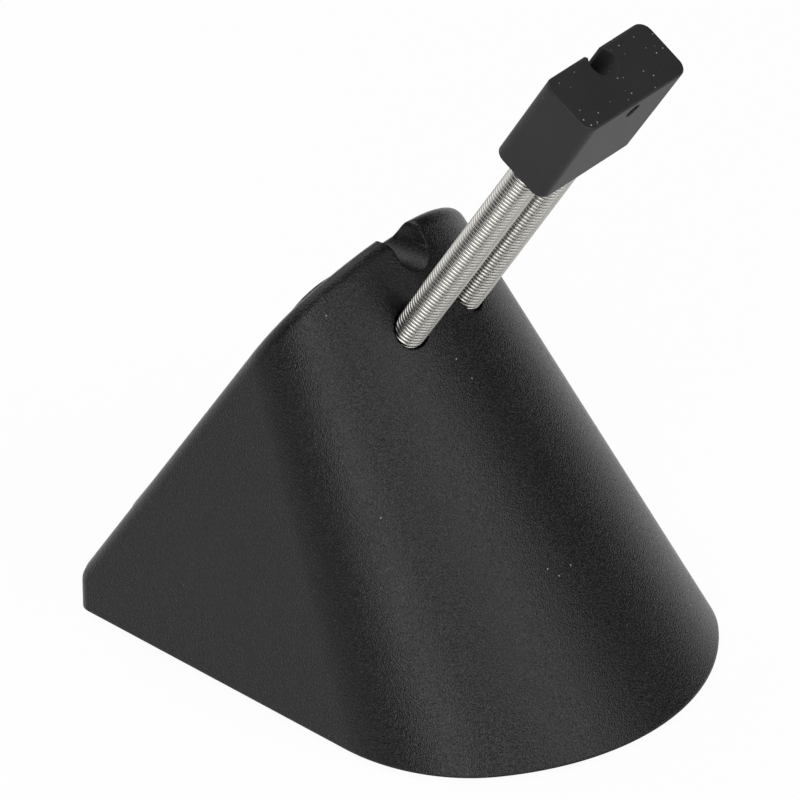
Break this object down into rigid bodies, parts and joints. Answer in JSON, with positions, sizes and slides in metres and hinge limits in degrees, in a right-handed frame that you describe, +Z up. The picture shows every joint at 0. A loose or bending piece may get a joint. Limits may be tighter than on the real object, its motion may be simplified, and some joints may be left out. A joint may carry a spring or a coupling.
{
  "type": "mouse bungee",
  "caption": "Desk cable holder for a mouse: a weighted cone-fronted base with a cable notch and a sprung twin-coil arm ending in a rubber block with an open cable channel.",
  "frame": {"origin": "centre of the footprint on the desk", "axes": "+Z up, the spring arm leans to -Y (front), +X to the object's right seen from behind"},
  "size_m": [0.076, 0.0982, 0.1205],
  "materials": {
    "moulded_abs": "fine spark-eroded moulding texture",
    "soft_rubber": "matt moulded rubber",
    "foot_rubber": "matt moulded rubber",
    "spring_steel": "bright drawn wire",
    "screw_steel": "zinc plated",
    "weight_steel": "raw cast block"
  },
  "bodies": {
    "base": {"base_plate": "moulded_abs", "base_screws": "screw_steel", "body_shell": "moulded_abs", "foot_front_left": "foot_rubber", "foot_front_right": "foot_rubber", "foot_rear_left": "foot_rubber", "foot_rear_right": "foot_rubber", "left_spring": "spring_steel", "rear_cover": "moulded_abs", "right_spring": "spring_steel", "weight_block": "weight_steel"},
    "arm": {"cable_head": "soft_rubber"}
  },
  "joints": [
    {"name": "arm_flex", "type": "hinge", "parent": "base", "child": "arm", "pos_m": [0, -0.01574, 0.08197], "axis": [1, 0, 0], "range_deg": [-30, 30], "stiffness_Nm_per_rad": 0.15, "deforming": ["left_spring", "right_spring"]}
  ]
}
